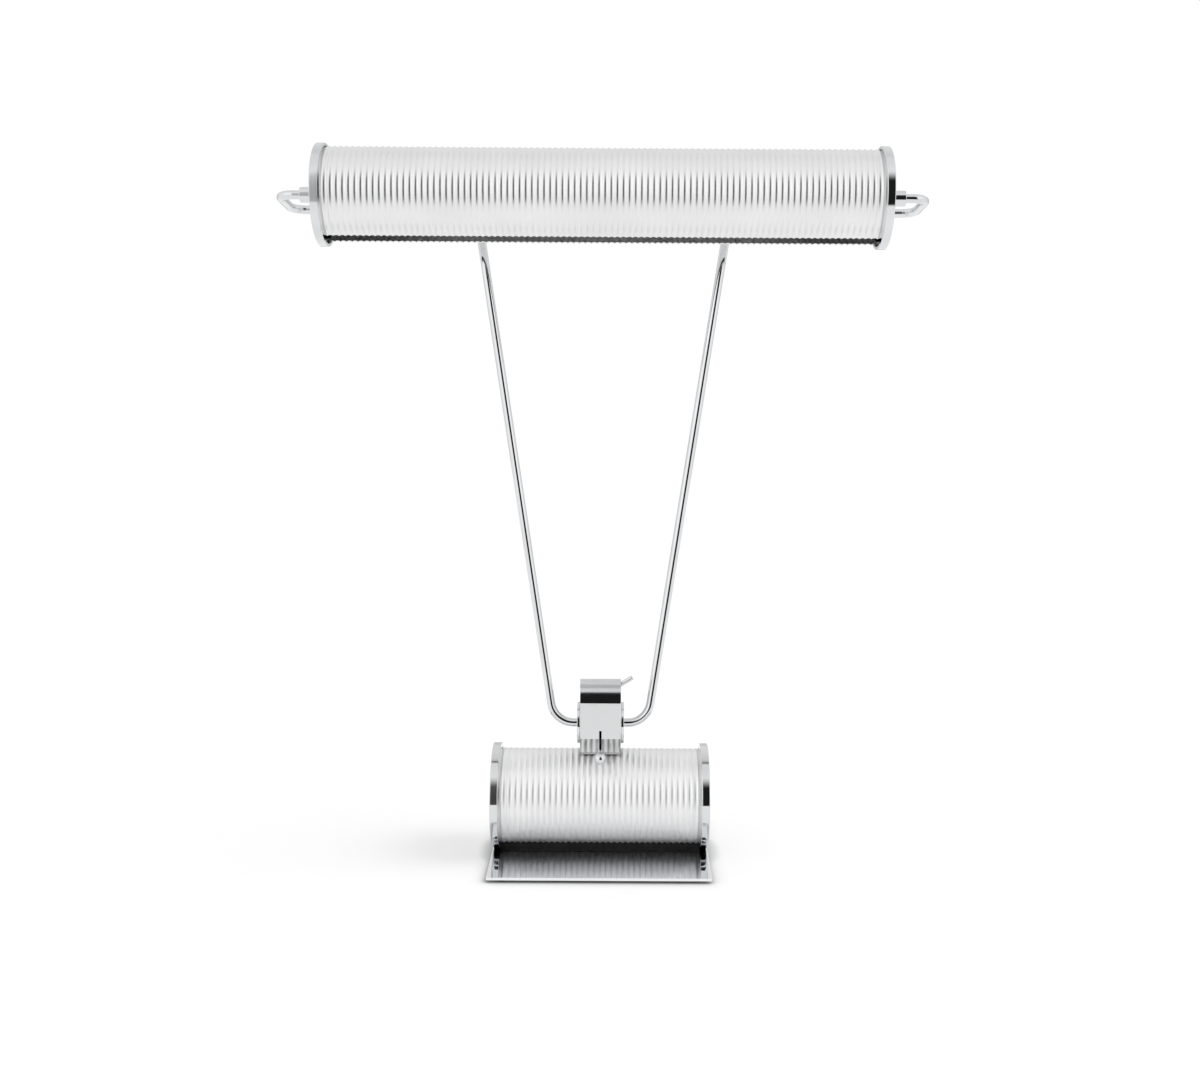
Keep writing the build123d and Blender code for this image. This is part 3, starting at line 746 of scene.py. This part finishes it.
white, tree, shader = new_finish(
    "white_table", Base_Color=(*grey(TABLE_TONE), 1.0), Roughness=1.0
)
# Painted shade: the crevice node darkens the plain white near the plate and the base.
crevice = tree.nodes.new("ShaderNodeAmbientOcclusion")
crevice.inputs["Distance"].default_value = CREVICE_REACH
fade = tree.nodes.new("ShaderNodeGamma")
fade.inputs["Gamma"].default_value = CREVICE_FADE
glow = tree.nodes.new("ShaderNodeEmission")
glow.inputs["Strength"].default_value = TABLE_GLOW
tree.links.new(crevice.outputs["Color"], fade.inputs["Color"])
tree.links.new(fade.outputs["Color"], glow.inputs["Color"])
blend = tree.nodes.new("ShaderNodeMixShader")
blend.inputs["Fac"].default_value = PLAIN_SHARE
tree.links.new(shader.outputs["BSDF"], blend.inputs[1])
tree.links.new(glow.outputs["Emission"], blend.inputs[2])
print(white.name, "is", round(100 * PLAIN_SHARE), "percent plain white")

# %% [markdown]
# The sheet is clear from below, so that the underside of the lamp can be looked at too. A ray
# that meets its back passes through. From then on the sheet stays clear to that ray, or the
# plate would mirror the dark gap under it.

# %% Table that is clear from below
FLOOR_SIDE, FLOOR_FRONT, FLOOR_BACK = 1.6, -0.5, 1.6

back_met = tree.nodes.new("ShaderNodeNewGeometry").outputs["Backfacing"]
passed = tree.nodes.new("ShaderNodeLightPath").outputs["Transparent Depth"]
from_below = add_calc(tree, "MAXIMUM", back_met, passed)
from_below.node.use_clamp = True
clear = tree.nodes.new("ShaderNodeBsdfTransparent")
one_sided = tree.nodes.new("ShaderNodeMixShader")
tree.links.new(from_below, one_sided.inputs["Fac"])
tree.links.new(blend.outputs["Shader"], one_sided.inputs[1])
tree.links.new(clear.outputs["BSDF"], one_sided.inputs[2])
tree.links.new(one_sided.outputs["Shader"], tree.nodes["Material Output"].inputs["Surface"])

sheet = bpy.data.meshes.new("table")
front = [(-FLOOR_SIDE, FLOOR_FRONT, 0.0), (FLOOR_SIDE, FLOOR_FRONT, 0.0)]
back = [(FLOOR_SIDE, FLOOR_BACK, 0.0), (-FLOOR_SIDE, FLOOR_BACK, 0.0)]
sheet.from_pydata(front + back, [], [(0, 1, 2, 3)])
sheet.materials.append(white)
table = bpy.data.objects.new("table", sheet)
scene.collection.objects.link(table)
print("table of", 2 * FLOOR_SIDE, "by", FLOOR_BACK - FLOOR_FRONT, "metres")

# %% [markdown]
# A soft lamp at the right throws a shadow to the left. It is a sun with a wide angle, whose
# light is the same everywhere. The metal doesn't mirror it, because the tent is all that the
# metal shows.

# %% Soft lamp
LAMP_ANGLE, LAMP_STRENGTH = radians(40), 1.8
LAMP_TOWARDS = Vector((-1.0, 0.05, -0.85))

soft = bpy.data.lights.new("soft_lamp", "SUN")
soft.angle = LAMP_ANGLE
soft.energy = LAMP_STRENGTH
soft_lamp = bpy.data.objects.new("soft_lamp", soft)
soft_lamp.rotation_euler = LAMP_TOWARDS.to_track_quat("-Z", "Y").to_euler()
soft_lamp.visible_glossy = False
scene.collection.objects.link(soft_lamp)
print("soft lamp", round(degrees(LAMP_ANGLE)), "degrees wide")
